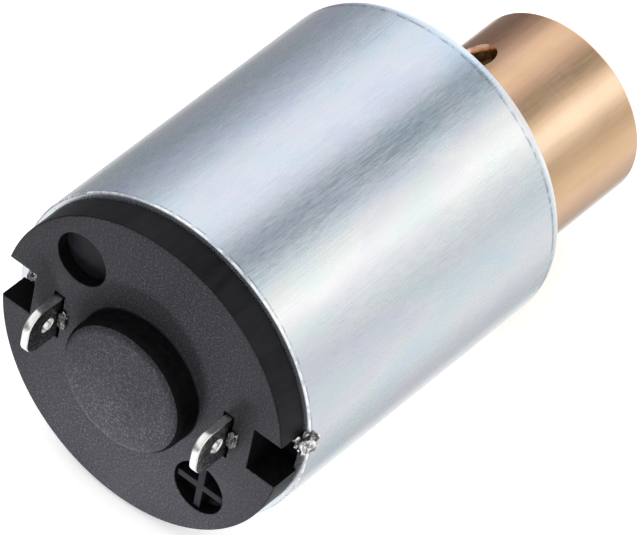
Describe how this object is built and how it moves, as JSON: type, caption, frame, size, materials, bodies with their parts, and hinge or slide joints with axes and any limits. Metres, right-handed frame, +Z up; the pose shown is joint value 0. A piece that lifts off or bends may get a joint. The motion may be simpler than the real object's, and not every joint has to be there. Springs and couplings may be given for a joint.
{
  "type": "cylindrical vibration motor",
  "caption": "Cylindrical brushed DC motor with a steel can, black plastic end cap with two solder terminals, and an eccentric brass weight on its shaft.",
  "frame": {"origin": "on the shaft's axis, in the plane of the can's front face", "axes": "+X along the shaft towards the eccentric weight; the positive terminal is on -Y and the negative terminal on +Y; +Z up with the motor lying down"},
  "size_m": [0.0466, 0.0248, 0.0244],
  "materials": {
    "zinc_plate": "satin",
    "black_plastic": "matte",
    "tinned": "bright",
    "ground_steel": "ground",
    "iron": "satin",
    "ferrite": "matte",
    "sintered_bronze": "matte",
    "spring_bronze": "satin",
    "carbon": "matte",
    "bar_copper": "satin",
    "enamelled_copper": "gloss",
    "fibre": "matte",
    "phenolic": "satin",
    "white_nylon": "satin",
    "ceramic": "matte",
    "turned_brass": "satin"
  },
  "bodies": {
    "stator": {"can": "zinc_plate", "end_cap": "black_plastic", "magnet_upper": "ferrite", "magnet_lower": "ferrite", "magnet_spring_left": "ground_steel", "magnet_spring_right": "ground_steel", "front_bearing": "sintered_bronze", "rear_bearing": "sintered_bronze", "terminal_positive": "tinned", "terminal_negative": "tinned", "brush_foot_positive": "spring_bronze", "brush_foot_negative": "spring_bronze"},
    "rotor": {"shaft": "ground_steel", "armature_core": "iron", "insulator_front": "fibre", "insulator_rear": "fibre", "winding_1": "enamelled_copper", "winding_2": "enamelled_copper", "winding_3": "enamelled_copper", "commutator_hub": "phenolic", "commutator_bar_1": "bar_copper", "commutator_bar_2": "bar_copper", "commutator_bar_3": "bar_copper", "varistor_ring": "ceramic", "spacer_sleeve": "white_nylon", "thrust_washer_front": "white_nylon", "thrust_washer_rear": "white_nylon", "eccentric_weight": "turned_brass"},
    "brush_positive": {"brush_arm_positive": "spring_bronze", "carbon_brush_positive": "carbon"},
    "brush_negative": {"brush_arm_negative": "spring_bronze", "carbon_brush_negative": "carbon"}
  },
  "joints": [
    {"name": "rotor_spin", "type": "hinge", "parent": "stator", "child": "rotor", "pos_m": [0, 0, 0], "axis": [1, 0, 0], "continuous": true},
    {"name": "brush_lift_positive", "type": "hinge", "parent": "stator", "child": "brush_positive", "pos_m": [-0.02525, -0.0056, 0.00532], "axis": [-1, 0, 0], "range_deg": [0, 8], "stiffness_Nm_per_rad": 0.02},
    {"name": "brush_lift_negative", "type": "hinge", "parent": "stator", "child": "brush_negative", "pos_m": [-0.02525, 0.0056, -0.00532], "axis": [-1, 0, 0], "range_deg": [0, 8], "stiffness_Nm_per_rad": 0.02}
  ]
}
